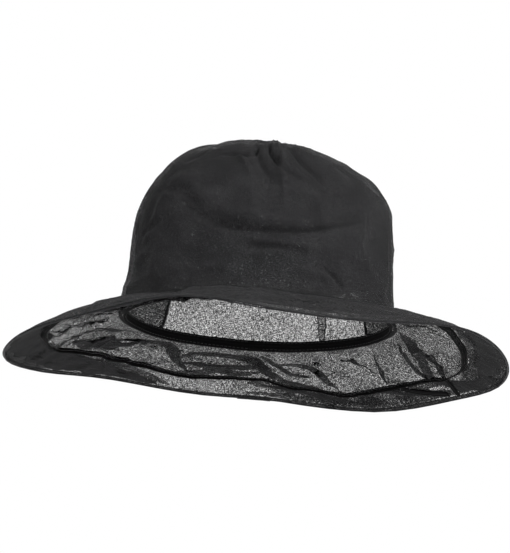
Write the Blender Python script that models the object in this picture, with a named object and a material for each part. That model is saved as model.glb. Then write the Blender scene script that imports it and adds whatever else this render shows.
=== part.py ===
"""Black voile beekeeping veil: a soft net hat with a wired brim and its veil tucked up under it.

Metres, +Z up. The origin is the centre of the head opening, at mid height of the headband.
The front is towards -Y, and +X is the wearer's left.
"""
import math

import bmesh
import bpy

# Rings: every ring has the same facets, so that nested rings keep an even gap.
SEGMENTS = 60
STEP = 2 * math.pi / SEGMENTS
FIRST_ANGLE = STEP / 2  # puts the middle of a facet on each axis

# Net and headband
PLY = 0.0008  # closed solid that stands for one ply of voile
HEAD_RADIUS = 0.092  # 58 cm head
BAND_THICKNESS = 0.001
BAND_HEIGHT = 0.0075
TAPE_THICKNESS = 0.0005
GAP = 0.0003

# Crown: a superellipse dome that flares a little where it meets the brim
CROWN_RADIUS = 0.0915
CROWN_HEIGHT = 0.126
CROWN_POWER = 4.3
CROWN_FLARE = 0.005
FLARE_HEIGHT = 0.012
CROWN_BOTTOM = 0.0008
LINING_RADIUS = 0.0889
LINING_HEIGHT = 0.1215
LINING_FLARE = 0.0036
LINING_BOTTOM = 0.0046  # just above the headband
NOTCH_TOP = 0.038  # the lining is cut up behind the head, so that the net there is one ply
NOTCH_MIDDLE = math.radians(85.0)
NOTCH_FLAT = math.radians(43.0)  # from the notch's middle to where its top edge starts to fall
NOTCH_END = math.radians(56.0)
GATHER_RADIUS = 0.009
GATHER_BOTTOM = 0.1222
GATHER_TOP = 0.1246

# Brim: droops from the headband to a wired edge that waves up and down
BRIM_INNER = 0.0952
BRIM_OUTER = 0.1762
BRIM_START = -0.001
BRIM_CURVE = 1.8
EDGE_SHAPE = (  # degrees from +X towards +Y, height of the wired edge there
    (8, -0.0322), (35, -0.0318), (57, -0.0344), (72, -0.0305), (87, -0.0247), (103, -0.0242), (128, -0.022),
    (152, -0.0298), (178, -0.036), (205, -0.0343), (235, -0.028), (253, -0.0205), (272, -0.0283),
    (292, -0.0306), (323, -0.0215))
WIRE_RADIUS = 0.0005
WIRE_RING = 0.1745
WIRE_SIDES = 8
WIRE_OPENING = math.radians(0.75)  # gap between the wire's two ends
JOINER_INNER = 0.00085
JOINER_OUTER = 0.0011
JOINER_LENGTH = 0.024
BINDING_WIDTH = 0.0036
BINDING_HALF_GAP = 0.0016
BINDING_LEG = 0.0004

# Veil tucked under the brim, closed by an elastic that lies flat against the net
HEM_INNER = 0.146
HEM_WIDTH = 0.005
HEM_DEPTH = 0.0025  # middle of the elastic below the middle of the brim's net
HEM_ORIGIN = -0.0165  # about the hem's mean height
TAIL_ANGLE = math.radians(29.0)
TAIL_WIDTH = 0.005
TAIL_END = 0.169

BACK_SEAM_FACET = 9  # the facet whose middle lies 60 degrees round from +X, behind the head
BACK_SEAM_RINGS = 8  # rings of the shell that it spans, from the first above the headband
OVERLAP_FACETS = (14, 15)


def clear_scene():
    for thing in list(bpy.data.objects):
        bpy.data.objects.remove(thing, do_unlink=True)


def make_material(name, colour, roughness, metallic=0.0):
    material = bpy.data.materials.new(name)
    material.use_nodes = True
    shader = material.node_tree.nodes["Principled BSDF"]
    shader.inputs["Base Color"].default_value = (*colour, 1.0)
    shader.inputs["Roughness"].default_value = roughness
    shader.inputs["Metallic"].default_value = metallic
    return material


def angle_at(index):
    """Angle of a facet's first edge, from +X towards +Y."""
    return FIRST_ANGLE + index * STEP


def edge_height(angle):
    """Height of the brim's wired edge: a smooth closed curve through EDGE_SHAPE."""
    count = len(EDGE_SHAPE)
    turned = (math.degrees(angle) - EDGE_SHAPE[0][0]) % 360
    spots = [((EDGE_SHAPE[k % count][0] - EDGE_SHAPE[0][0]) + 360 * (k // count), EDGE_SHAPE[k % count][1])
             for k in range(-1, count + 2)]
    for before, start, end, after in zip(spots, spots[1:], spots[2:], spots[3:]):
        if start[0] <= turned <= end[0]:
            break
    run = end[0] - start[0]
    slope_in = (end[1] - before[1]) / (end[0] - before[0]) * run
    slope_out = (after[1] - start[1]) / (after[0] - start[0]) * run
    t = (turned - start[0]) / run
    blend = t * t * (3 - 2 * t)
    bend = t * (1 - t) * (slope_in * (1 - t) - slope_out * t)
    return start[1] * (1 - blend) + end[1] * blend + bend


def brim_height(radius, angle):
    """Height of the middle of the brim's net."""
    share = max(0.0, (radius - BRIM_INNER) / (BRIM_OUTER - BRIM_INNER))
    return BRIM_START + (edge_height(angle) - BRIM_START) * share ** BRIM_CURVE


def crown_radius(height):
    dome = CROWN_RADIUS * math.sqrt(max(0.0, 1 - (height / CROWN_HEIGHT) ** CROWN_POWER))
    return dome + CROWN_FLARE * math.exp(-height / FLARE_HEIGHT)


def lining_radius(height):
    dome = LINING_RADIUS * math.sqrt(max(0.0, 1 - (height / LINING_HEIGHT) ** CROWN_POWER))
    return dome + LINING_FLARE * math.exp(-height / FLARE_HEIGHT)


def lining_bottom(angle):
    """Height of the lining's lower edge, which rises into the notch behind the head."""
    away = abs((angle - NOTCH_MIDDLE + math.pi) % (2 * math.pi) - math.pi)
    fall = min(max((away - NOTCH_FLAT) / (NOTCH_END - NOTCH_FLAT), 0.0), 1.0)
    return NOTCH_TOP + (LINING_BOTTOM - NOTCH_TOP) * fall * fall * (3 - 2 * fall)


def dome_profile(radius_at, top, bottom, wall_rings, dome_rings):
    """Points (radius, height) from the bottom edge to the top of a dome."""
    shoulder = top / 2
    turn = math.asin((shoulder / top) ** (CROWN_POWER / 2))
    points = []
    for ring in range(wall_rings):
        height = bottom + (shoulder - bottom) * ring / wall_rings
        points.append((radius_at(height), height))
    for ring in range(dome_rings):
        swing = turn + (math.pi / 2 - turn) * ring / dome_rings
        height = top * math.sin(swing) ** (2 / CROWN_POWER)
        points.append((radius_at(height), height))
    points.append((0.0, top))
    return points


def inset_profile(points, depth):
    """The same profile, moved inwards along its normals. Its two ends stay level and on the axis."""
    moved = []
    last = len(points) - 1
    for index, (radius, height) in enumerate(points):
        before = points[max(index - 1, 0)]
        after = points[min(index + 1, last)]
        run = (after[0] - before[0], after[1] - before[1])
        length = math.hypot(*run)
        inwards = (-run[1] / length, run[0] / length)
        if index == 0:
            moved.append((radius - depth, height))
        elif index == last:
            moved.append((0.0, height - depth))
        else:
            moved.append((radius + inwards[0] * depth, height + inwards[1] * depth))
    return moved


def point_at(radius, height, angle):
    return (radius * math.cos(angle), radius * math.sin(angle), height)


def finish_object(name, mesh_data, material, origin_height=0.0):
    """Turns a bmesh into a named object whose origin lies on the head opening's axis."""
    bmesh.ops.recalc_face_normals(mesh_data, faces=mesh_data.faces[:])
    mesh = bpy.data.meshes.new(name)
    bmesh.ops.translate(mesh_data, verts=mesh_data.verts[:], vec=(0.0, 0.0, -origin_height))
    mesh_data.to_mesh(mesh)
    mesh_data.free()
    mesh.shade_smooth()
    mesh.set_sharp_from_angle(angle=math.radians(40))
    mesh.materials.append(material)
    thing = bpy.data.objects.new(name, mesh)
    thing.location.z = origin_height
    bpy.context.scene.collection.objects.link(thing)
    return thing


def turned_cup(name, profile_at, depth, material):
    """An open-bottomed dome: an outer and an inner skin joined round the bottom edge."""
    data = bmesh.new()
    skins = []
    for inset in (0.0, depth):
        columns = [inset_profile(profile_at(angle_at(k)), inset) for k in range(SEGMENTS)]
        rings = [[data.verts.new(point_at(*column[ring], angle_at(k))) for k, column in enumerate(columns)]
                 for ring in range(len(columns[0]) - 1)]
        pole = data.verts.new((0.0, 0.0, columns[0][-1][1]))
        skins.append((rings, pole))
    for rings, pole in skins:
        for low, high in zip(rings, rings[1:]):
            for k in range(SEGMENTS):
                n = (k + 1) % SEGMENTS
                data.faces.new((low[k], low[n], high[n], high[k]))
        for k in range(SEGMENTS):
            data.faces.new((rings[-1][k], rings[-1][(k + 1) % SEGMENTS], pole))
    outer_edge, inner_edge = skins[0][0][0], skins[1][0][0]
    for k in range(SEGMENTS):
        n = (k + 1) % SEGMENTS
        data.faces.new((outer_edge[k], outer_edge[n], inner_edge[n], inner_edge[k]))
    return finish_object(name, data, material)


def swept_ring(name, section_at, material, origin_height=0.0):
    """A closed ring. section_at(angle) gives the corners (radius, height) of its cross-section."""
    data = bmesh.new()
    loops = []
    for k in range(SEGMENTS):
        angle = angle_at(k)
        loops.append([data.verts.new(point_at(r, z, angle)) for r, z in section_at(angle)])
    bridge(data, loops + loops[:1])
    return finish_object(name, data, material, origin_height)


def swept_arc(name, section_at, angles, material, origin_height=0.0):
    """A length of a ring between two end caps."""
    data = bmesh.new()
    loops = [[data.verts.new(point_at(r, z, angle)) for r, z in section_at(angle)] for angle in angles]
    bridge(data, loops)
    data.faces.new(loops[0])
    data.faces.new(loops[-1])
    return finish_object(name, data, material, origin_height)


def bridge(data, loops):
    """Walls between neighbouring cross-sections with the same number of corners."""
    corners = len(loops[0])
    for near, far in zip(loops, loops[1:]):
        for c in range(corners):
            d = (c + 1) % corners
            data.faces.new((near[c], near[d], far[d], far[c]))


def layer_section(inner, outer, low, high, stations):
    """Section of a ply that follows the brim, from low to high above the middle of the brim's net."""
    def section(angle):
        radii = [inner + (outer - inner) * s / stations for s in range(stations + 1)]
        top = [(r, brim_height(r, angle) + high) for r in radii]
        bottom = [(r, brim_height(r, angle) + low) for r in reversed(radii)]
        return top + bottom
    return section


def crown(voile, tape):
    shell = dome_profile(crown_radius, CROWN_HEIGHT, CROWN_BOTTOM, 4, 7)
    turned_cup("crown_shell", lambda angle: shell, PLY, voile)
    crown_back_seam(shell, tape)
    turned_cup("crown_lining", lining_profile, PLY, voile)
    crown_top_gather(voile)


def lining_profile(angle):
    return dome_profile(lining_radius, LINING_HEIGHT, lining_bottom(angle), 3, 6)


def crown_top_gather(voile):
    """Seam allowance of the gathered top, drawn up into a flat knot under the net."""
    waist = (GATHER_BOTTOM + GATHER_TOP) / 2
    profile = ((GATHER_RADIUS * 0.6, GATHER_BOTTOM), (GATHER_RADIUS, waist), (GATHER_RADIUS * 0.6, GATHER_TOP))
    sides = 20
    data = bmesh.new()
    rings = [[data.verts.new(point_at(r, z, 2 * math.pi * k / sides)) for k in range(sides)]
             for r, z in profile]
    for low, high in zip(rings, rings[1:]):
        for k in range(sides):
            n = (k + 1) % sides
            data.faces.new((low[k], low[n], high[n], high[k]))
    data.faces.new(rings[0])
    data.faces.new(rings[-1])
    finish_object("crown_top_gather", data, voile)


def crown_back_seam(shell, tape):
    """Felled seam that closes the crown's net behind the head, flat against the inside of the shell."""
    near_wall = PLY + GAP
    outer = inset_profile(shell, near_wall)[1:BACK_SEAM_RINGS]
    inner = inset_profile(shell, near_wall + TAPE_THICKNESS)[1:BACK_SEAM_RINGS]
    corners = outer + inner[::-1]
    angles = (angle_at(BACK_SEAM_FACET), angle_at(BACK_SEAM_FACET + 1))
    swept_arc("crown_back_seam", lambda angle: corners, angles, tape)


def box_section(inner, outer, low, high):
    corners = [(inner, low), (outer, low), (outer, high), (inner, high)]
    return lambda angle: corners


def headband(elastic, tape):
    half = BAND_HEIGHT / 2
    band_outer = HEAD_RADIUS + BAND_THICKNESS
    swept_ring("headband_elastic", box_section(HEAD_RADIUS, band_outer, -half, half), elastic)
    casing_inner = band_outer + GAP
    casing = box_section(casing_inner, casing_inner + TAPE_THICKNESS, -half - GAP, half - GAP)
    swept_ring("headband_casing", casing, tape)
    lap_outer = HEAD_RADIUS - GAP
    lap = box_section(lap_outer - TAPE_THICKNESS, lap_outer, GAP - half, half - GAP)
    angles = [angle_at(k) for k in (*OVERLAP_FACETS, OVERLAP_FACETS[-1] + 1)]
    swept_arc("headband_overlap", lap, angles, elastic)


def round_section(radius, sides, ring_radius):
    def section(angle):
        middle = brim_height(ring_radius, angle)
        turns = [2 * math.pi * (s + 0.5) / sides for s in range(sides)]
        return [(ring_radius + radius * math.cos(t), middle + radius * math.sin(t)) for t in turns]
    return section


def brim(voile, tape, steel):
    net_outer = WIRE_RING - WIRE_RADIUS - 2 * GAP
    swept_ring("brim_net", layer_section(BRIM_INNER, net_outer, -PLY / 2, PLY / 2, 5), voile)
    brim_hoop(steel)
    brim_edge_binding(tape)
    tape_top = -PLY / 2 - GAP
    tape_section = layer_section(BRIM_INNER, BRIM_INNER + 0.003, tape_top - TAPE_THICKNESS, tape_top, 1)
    swept_ring("veil_seam_tape", tape_section, tape)


def brim_hoop(steel):
    """Spring wire hoop, open by a hair at the back, with its two ends held in a short sleeve."""
    back = math.pi / 2
    start = back + WIRE_OPENING / 2
    sweep = 2 * math.pi - WIRE_OPENING
    angles = [start + sweep * k / SEGMENTS for k in range(SEGMENTS + 1)]
    swept_arc("brim_hoop_wire", round_section(WIRE_RADIUS, WIRE_SIDES, WIRE_RING), angles, steel)
    hoop_joiner(steel, back)


def hoop_joiner(steel, back):
    """Hollow sleeve: an outer and an inner tube joined at both ends."""
    half = JOINER_LENGTH / 2 / WIRE_RING
    angles = [back - half + 2 * half * k / 4 for k in range(5)]
    outer = round_section(JOINER_OUTER, WIRE_SIDES, WIRE_RING)
    inner = round_section(JOINER_INNER, WIRE_SIDES, WIRE_RING)
    data = bmesh.new()
    tubes = [[[data.verts.new(point_at(r, z, angle)) for r, z in section(angle)] for angle in angles]
             for section in (outer, inner)]
    for loops in tubes:
        bridge(data, loops)
    for end in (0, -1):
        bridge(data, [tubes[0][end], tubes[1][end]])
    finish_object("hoop_joiner_sleeve", data, steel)


def u_section(closed_at, open_at, half_gap, leg, offset=0.0):
    """Tape folded round an edge: two legs and the fold between them, open towards the head."""
    def section(angle):
        def at(radius, height):
            return (radius, brim_height(radius, angle) + offset + height)
        fold = closed_at - leg
        reach = half_gap + leg
        return [at(open_at, reach), at(closed_at, reach), at(closed_at, -reach), at(open_at, -reach),
                at(open_at, -half_gap), at(fold, -half_gap), at(fold, half_gap), at(open_at, half_gap)]
    return section


def brim_edge_binding(tape):
    section = u_section(BRIM_OUTER, BRIM_OUTER - BINDING_WIDTH, BINDING_HALF_GAP, BINDING_LEG)
    swept_ring("brim_edge_binding", section, tape)


def veil(voile, elastic):
    veil_top = -PLY / 2 - 2 * GAP - TAPE_THICKNESS - GAP
    net_outer = HEM_INNER - 0.0012
    net = layer_section(BRIM_INNER, net_outer, veil_top - PLY, veil_top, 3)
    swept_ring("veil_net", net, voile)
    half = BAND_THICKNESS / 2
    hem_outer = HEM_INNER + HEM_WIDTH
    hem = layer_section(HEM_INNER, hem_outer, -HEM_DEPTH - half, -HEM_DEPTH + half, 1)
    swept_ring("veil_hem_elastic", hem, elastic, HEM_ORIGIN)
    casing_outer = hem_outer + GAP + BINDING_LEG
    casing = u_section(casing_outer, HEM_INNER - GAP, half + GAP, BINDING_LEG, -HEM_DEPTH)
    swept_ring("veil_hem_casing", casing, voile, HEM_ORIGIN)
    tail = layer_section(casing_outer + GAP, TAIL_END, -HEM_DEPTH - half, -HEM_DEPTH + half, 2)
    half_turn = TAIL_WIDTH / 2 / TAIL_END
    angles = (TAIL_ANGLE - half_turn, TAIL_ANGLE + half_turn)
    swept_arc("hem_elastic_tail", tail, angles, elastic, HEM_ORIGIN)


def build():
    clear_scene()
    voile = make_material("black_voile", (0.022, 0.022, 0.023), 0.85)
    tape = make_material("black_tape", (0.016, 0.016, 0.017), 0.8)
    elastic = make_material("black_elastic", (0.009, 0.009, 0.01), 0.7)
    steel = make_material("blued_spring_wire", (0.08, 0.08, 0.085), 0.4, 1.0)
    crown(voile, tape)
    headband(elastic, tape)
    brim(voile, tape, steel)
    veil(voile, elastic)


build()
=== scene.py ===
import math
from contextlib import contextmanager
from itertools import product

import bmesh
import bpy
import numpy as np
from mathutils import Matrix, Vector


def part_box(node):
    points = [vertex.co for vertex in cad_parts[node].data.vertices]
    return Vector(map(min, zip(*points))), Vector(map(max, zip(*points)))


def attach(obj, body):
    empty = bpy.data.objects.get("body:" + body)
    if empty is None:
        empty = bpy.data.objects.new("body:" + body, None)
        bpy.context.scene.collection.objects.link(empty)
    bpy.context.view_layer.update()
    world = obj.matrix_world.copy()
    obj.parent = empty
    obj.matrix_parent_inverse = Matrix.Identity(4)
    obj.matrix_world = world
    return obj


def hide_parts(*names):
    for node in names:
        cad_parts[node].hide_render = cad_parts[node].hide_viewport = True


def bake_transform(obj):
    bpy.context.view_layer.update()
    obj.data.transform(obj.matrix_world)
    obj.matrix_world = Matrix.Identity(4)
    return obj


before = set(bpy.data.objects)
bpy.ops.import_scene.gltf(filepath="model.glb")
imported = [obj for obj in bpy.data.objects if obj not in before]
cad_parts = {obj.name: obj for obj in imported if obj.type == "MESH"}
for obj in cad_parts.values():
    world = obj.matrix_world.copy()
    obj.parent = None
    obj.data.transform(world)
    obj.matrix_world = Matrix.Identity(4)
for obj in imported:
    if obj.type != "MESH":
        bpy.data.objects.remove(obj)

# Black voile beekeeping veil, in metres, +Z up. The head opening's centre is the origin, the front is -Y.

MM = 0.001
TURN = 2 * math.pi
HAT = "hat"
HEM = "veil_hem"
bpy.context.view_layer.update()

# Places read from the frame
HEAD_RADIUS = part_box("headband_elastic")[1].x - MM
CROWN_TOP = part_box("crown_shell")[1].z
LINING_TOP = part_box("crown_lining")[1].z
BRIM_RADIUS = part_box("brim_edge_binding")[1].x
HEM_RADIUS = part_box("veil_hem_elastic")[1].x - 2.5 * MM
BRIM_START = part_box("brim_net")[1].z - 0.4 * MM

# Shape rules shared with the CAD model
DOME_POWER = 4.3
FLARE_HEIGHT = 12 * MM
WALL_RADIUS = HEAD_RADIUS - 0.4 * MM
WALL_FLARE = 5 * MM
LINING_RADIUS = HEAD_RADIUS - 3.1 * MM
LINING_GAP = 1.3 * MM  # how much nearer the shell the limp lining lies than the CAD solid does
LINING_FLARE = 3.2 * MM
BRIM_INNER = HEAD_RADIUS + 3.3 * MM
BRIM_CURVE = 1.8
SEAM_ANGLE = math.radians(60.0)

# Thickness of each net, which shows where it is seen edge on
CROWN_THICKNESS = 0.08 * MM
BRIM_THICKNESS = 0.09 * MM
VEIL_THICKNESS = 0.1 * MM

# Camera
CAMERA_DISTANCE = 3.0
CAMERA_ELEVATION = -12.0
CAMERA_ROLL = 3.0
PIXELS_PER_METRE = 1437.0
IMAGE_HEIGHT = 553
SENSOR = 36.0
AIM = Vector((-0.0037, 0.0, 0.0308))

# The floor is low and wide, because the camera looks up from below the brim
FLOOR_HALF = 40.0
FLOOR_HEIGHT = -3.3
LIT_PLACE = Vector((0, 0, 0.04))


# ---------------- numbers over a surface

def lattice_noise(points, size, seed):
    """Smooth seeded noise from -1 to 1, with features about size across."""
    table = np.random.default_rng(seed).random(4096) * 2 - 1
    cells = points / size
    base = np.floor(cells).astype(np.int64)
    part = cells - base
    part = part * part * part * (part * (part * 6 - 15) + 10)
    total = np.zeros(points.shape[:-1])
    for corner in product((0, 1), repeat=3):
        at = base + np.array(corner)
        key = (at[..., 0] * 73856093) ^ (at[..., 1] * 19349663) ^ (at[..., 2] * 83492791)
        share = np.prod(np.where(np.array(corner) == 1, part, 1 - part), axis=-1)
        total += table[key & 4095] * share
    return total


def ridges(points, size, seed):
    """Sharp creases between soft hollows, from -1 to 1."""
    return 1 - 2 * np.abs(lattice_noise(points, size, seed)) ** 0.8 * 1.6


def warped(points, size, amount, seed):
    """The points pushed about by noise, so that folds built on them wander."""
    shift = [lattice_noise(points, size, seed + k) for k in range(3)]
    return points + amount * np.stack(shift, axis=-1)


def smooth_step(value, low, high):
    share = np.clip((value - low) / (high - low), 0, 1)
    return share * share * (3 - 2 * share)


def bell(value, width):
    return np.exp(-(value / width) ** 2)


def angle_gap(angle, middle):
    """Signed difference between two angles, from -pi to pi."""
    return (angle - middle + math.pi) % TURN - math.pi


def round_the_hat(count):
    """Evenly spaced angles that start at the cloth's back seam."""
    return SEAM_ANGLE + TURN * np.arange(count) / count


def polar(places):
    """Radius and angle of places on the plan."""
    return np.hypot(places[..., 0], places[..., 1]), np.arctan2(places[..., 1], places[..., 0])


def heading(line):
    """Unit steps ahead along a line of points."""
    ahead = np.gradient(line, axis=0)
    return ahead / np.linalg.norm(ahead, axis=1, keepdims=True)


def sideways(line):
    """Unit steps to the left of a line on the plan."""
    ahead = heading(line)
    return np.stack([-ahead[:, 1], ahead[:, 0]], axis=1)


def spacing(line):
    """Mean distance between neighbouring points of a line."""
    return float(np.linalg.norm(np.diff(line, axis=0), axis=1).mean())


def run_along(line):
    """Distance from a line's start to each of its points."""
    return np.concatenate([[0], np.cumsum(np.linalg.norm(np.diff(line, axis=0), axis=1))])


def eased(values, times):
    """Draws each inner value towards its neighbours, several times over. The ends stay."""
    for _ in range(times):
        values[1:-1] = (values[:-2] + 2 * values[1:-1] + values[2:]) / 4
    return values


def smooth_line(corners, count=36):
    """A line through a few given corners, with its corners rounded off."""
    corners = np.asarray(corners, float)
    length = run_along(corners)
    at = np.linspace(0, length[-1], count)
    line = np.stack([np.interp(at, length, values) for values in corners.T], axis=1)
    return eased(line, 6)


def places_by_line(across, along, line):
    """For every point: the step from the line's nearest place, its signed length, and how far along it is.

    The first is a vector on the plan. The last goes from 0 at the line's start to 1 at its end.
    """
    nearest = np.full(across.shape, np.inf)
    away = np.zeros((*across.shape, 2))
    signed = np.zeros(across.shape)
    share = np.zeros(across.shape)
    runs = np.diff(line, axis=0)
    for k, (start, run) in enumerate(zip(line, runs)):
        part = ((across - start[0]) * run[0] + (along - start[1]) * run[1]) / (run @ run)
        part = np.clip(part, 0, 1)
        gap = np.stack([across - start[0] - part * run[0], along - start[1] - part * run[1]], axis=-1)
        length = np.linalg.norm(gap, axis=-1)
        closer = length < nearest
        side = np.sign(run[0] * gap[..., 1] - run[1] * gap[..., 0])
        nearest = np.where(closer, length, nearest)
        away = np.where(closer[..., None], gap, away)
        signed = np.where(closer, side * length, signed)
        share = np.where(closer, (k + part) / len(runs), share)
    return away, signed, share


# ---------------- the hat's own surfaces

WIRE_TURNS = 10


def wire_series():
    """The wired edge's height as a short Fourier series, fitted to the hoop in the frame."""
    spots = np.array([v.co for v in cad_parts["brim_hoop_wire"].data.vertices])
    angles = polar(spots)[1]
    columns = [np.ones_like(angles)]
    for n in range(1, WIRE_TURNS + 1):
        columns += [np.cos(n * angles), np.sin(n * angles)]
    return np.linalg.lstsq(np.stack(columns, axis=1), spots[:, 2], rcond=None)[0]


WIRE_SERIES = wire_series()


def edge_height(angle):
    height = np.full_like(angle, WIRE_SERIES[0])
    for n in range(1, WIRE_TURNS + 1):
        height = height + WIRE_SERIES[2 * n - 1] * np.cos(n * angle) + WIRE_SERIES[2 * n] * np.sin(n * angle)
    return height


def brim_height(radius, angle):
    share = np.maximum(0.0, (radius - BRIM_INNER) / (BRIM_RADIUS - BRIM_INNER))
    return BRIM_START + (edge_height(angle) - BRIM_START) * share ** BRIM_CURVE


def ring_points(radius, height, angle):
    return np.stack([radius * np.cos(angle), radius * np.sin(angle), height], axis=-1)


def normals_of(points, wrap=True):
    """Unit normals of a grid of points whose columns run round the hat."""
    if wrap:
        across = np.roll(points, -1, axis=1) - np.roll(points, 1, axis=1)
    else:
        across = np.gradient(points, axis=1)
    along = np.gradient(points, axis=0)
    normal = np.cross(across, along)
    return normal / np.maximum(np.linalg.norm(normal, axis=-1, keepdims=True), 1e-12)


# ---------------- meshes

def make_object(name, vertices, faces, material, weave=None):
    mesh = bpy.data.meshes.new(name)
    mesh.from_pydata([tuple(v) for v in vertices], [], [tuple(f) for f in faces])
    if weave is not None:
        layer = mesh.uv_layers.new(name="weave")
        layer.data.foreach_set("uv", np.asarray(weave, np.float32).ravel())
    mesh.materials.append(material)
    mesh.shade_smooth()
    thing = bpy.data.objects.new(name, mesh)
    bpy.context.scene.collection.objects.link(thing)
    return thing


@contextmanager
def editing(thing):
    """The thing's mesh opened for editing, and written back at the end."""
    data = bmesh.new()
    data.from_mesh(thing.data)
    yield data
    data.to_mesh(thing.data)
    data.free()


def grid_faces(rows, columns, wrap, weave_step):
    """Corner indices of a grid's faces, and each corner's place in the cloth.

    weave_step is the cloth's (across, along) spacing between points.
    """
    last = columns if wrap else columns - 1
    row, column = np.meshgrid(np.arange(rows - 1), np.arange(last), indexing="ij")
    row, column = row.ravel(), column.ravel()
    corners = [(row, column), (row, column + 1), (row + 1, column + 1), (row + 1, column)]
    faces = np.stack([r * columns + c % columns for r, c in corners], axis=1)
    weave = np.stack([np.stack([c * weave_step[0], r * weave_step[1]], axis=1) for r, c in corners], axis=1)
    return faces, weave


def grid_object(name, points, material, weave_step, wrap=True):
    """A sheet from a grid of points."""
    faces, weave = grid_faces(*points.shape[:2], wrap, weave_step)
    return make_object(name, points.reshape(-1, 3), faces, material, weave)


def tube_object(name, loops, material, weave_step, closed=True):
    """A solid ring or rod from cross-section loops: points[station, corner]."""
    stations, corners = loops.shape[:2]
    turned = loops.transpose(1, 0, 2)
    faces, weave = grid_faces(corners + 1, stations, closed, weave_step)
    faces = (faces // stations % corners) * stations + faces % stations
    face_list, weave_list = [tuple(f) for f in faces], weave.reshape(-1, 2)
    if not closed:
        for station in (0, stations - 1):
            cap = [c * stations + station for c in range(corners)]
            face_list.append(tuple(cap if station else cap[::-1]))
            weave_list = np.concatenate([weave_list, np.zeros((corners, 2))])
    thing = make_object(name, turned.reshape(-1, 3), face_list, material, weave_list)
    face_outwards(thing)
    return thing


def face_outwards(thing):
    with editing(thing) as data:
        bmesh.ops.recalc_face_normals(data, faces=data.faces[:])


def finish_piece(thing, body, nodes):
    """Attaches the piece to the body it rides and hides the CAD nodes it stands for."""
    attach(thing, body)
    if nodes:
        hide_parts(*nodes)


def thicken(thing, thickness):
    """Gives a net its thickness, so that it closes up when it is seen edge on, as woven thread does."""
    solid = thing.modifiers.new("thickness", "SOLIDIFY")
    solid.thickness = thickness
    solid.offset = 0.0
    bpy.context.view_layer.update()
    graph = bpy.context.evaluated_depsgraph_get()
    solid_thing = thing.evaluated_get(graph)
    mesh = bpy.data.meshes.new_from_object(solid_thing, preserve_all_data_layers=True, depsgraph=graph)
    thing.modifiers.clear()
    thing.data = mesh
    mesh.name = thing.name


def rope_object(name, line, radius, sides, material):
    """A thin round cord along a line of points."""
    ahead = heading(line)
    side = np.cross(ahead, np.array((0.1, 0.2, 1.0)))
    side = side / np.maximum(np.linalg.norm(side, axis=1, keepdims=True), 1e-9)
    over = np.cross(side, ahead)
    turns = TURN * np.arange(sides) / sides
    loops = [line + radius * (math.cos(t) * side + math.sin(t) * over) for t in turns]
    step = (spacing(line), TURN * radius / sides)
    return tube_object(name, np.stack(loops, axis=1), material, step, closed=False)


STITCH_RADIUS = 0.17 * MM
STITCH_SIDES = 6
STITCH_STATIONS = 5
STITCH_SHARE = 0.78  # of the pitch; the rest is the gap to the next stitch


def stitch_row(name, line, facing, body, pitch):
    """A row of sewn stitches along a closed line: each rises from the cloth and dives back into it."""
    loop = np.concatenate([line, line[:1]])
    length = run_along(loop)
    count = int(length[-1] / pitch)
    turns = TURN * np.arange(STITCH_SIDES) / STITCH_SIDES
    vertices, faces = [], []
    for k in range(count):
        start = length[-1] * k / count
        at = start + pitch * STITCH_SHARE * np.linspace(0, 1, STITCH_STATIONS)
        spine = np.stack([np.interp(at, length, values, period=length[-1]) for values in loop.T], axis=1)
        out = -spine[2] * (1, 1, 0) if facing == "inwards" else np.array(facing, float)
        out = out / np.linalg.norm(out)
        ahead = (spine[-1] - spine[0]) / np.linalg.norm(spine[-1] - spine[0])
        side = np.cross(ahead, out)
        rise = np.sin(np.linspace(0, math.pi, STITCH_STATIONS))
        spine = spine + out * ((rise - 0.4) * 1.6 * STITCH_RADIUS)[:, None]
        first = len(vertices)
        for station, place in enumerate(spine):
            thick = STITCH_RADIUS * (0.55 + 0.45 * rise[station])
            vertices += [place + thick * (math.cos(t) * side + math.sin(t) * out) for t in turns]
        for station in range(STITCH_STATIONS - 1):
            low = first + station * STITCH_SIDES
            for s in range(STITCH_SIDES):
                after = (s + 1) % STITCH_SIDES
                faces.append((low + s, low + after, low + STITCH_SIDES + after, low + STITCH_SIDES + s))
        last = first + (STITCH_STATIONS - 1) * STITCH_SIDES
        faces.append(tuple(first + s for s in reversed(range(STITCH_SIDES))))
        faces.append(tuple(last + s for s in range(STITCH_SIDES)))
    row = make_object(name, vertices, faces, THREAD)
    face_outwards(row)
    finish_piece(row, body, [])


# ---------------- materials

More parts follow.
